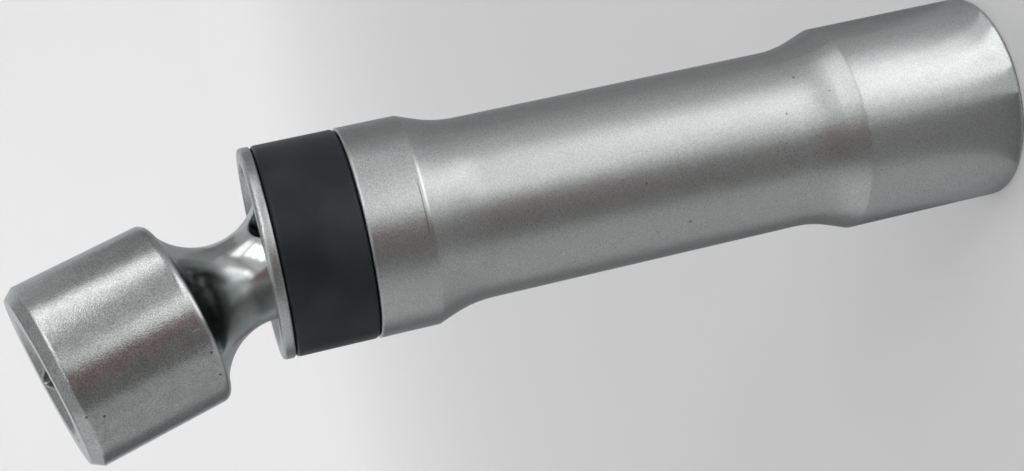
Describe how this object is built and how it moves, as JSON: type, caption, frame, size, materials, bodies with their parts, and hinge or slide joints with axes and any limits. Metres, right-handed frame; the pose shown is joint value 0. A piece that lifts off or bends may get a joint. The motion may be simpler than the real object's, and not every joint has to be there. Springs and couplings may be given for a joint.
{
  "type": "spark plug socket",
  "caption": "Long thin-wall spark plug socket with a twelve point opening and a square drive head that swivels on a pinned ball.",
  "frame": {"origin": "centre of the plug end's face, where the twelve point opening begins", "axes": "+Z along the socket from the plug end up to the drive end, X along the cross pin"},
  "size_m": [0.0239, 0.0283, 0.1056],
  "materials": {
    "satin_chrome": "satin",
    "head_chrome": "satin",
    "black_band": "matte black oxide",
    "hard_steel": "ground",
    "sleeve_nylon": "matte",
    "magnet_nickel": "nickel plated"
  },
  "bodies": {
    "socket": {"socket_body": "satin_chrome", "retaining_band": "black_band", "seat_cup": "hard_steel", "friction_spring": "hard_steel", "snap_ring": "hard_steel", "magnet_sleeve": "sleeve_nylon", "plug_magnet": "magnet_nickel"},
    "pin": {"cross_pin": "hard_steel"},
    "head": {"drive_head": "head_chrome"}
  },
  "joints": [
    {"name": "pin_swivel", "type": "hinge", "parent": "socket", "child": "pin", "pos_m": [0, 0, 0.07385], "axis": [1, 0, 0], "range_deg": [-36.3, 4.7]},
    {"name": "slot_swing", "type": "hinge", "parent": "pin", "child": "head", "pos_m": [0, 0, 0.07385], "axis": [0, 0.9622, 0.2723], "range_deg": [-14.2, 26.8]}
  ]
}
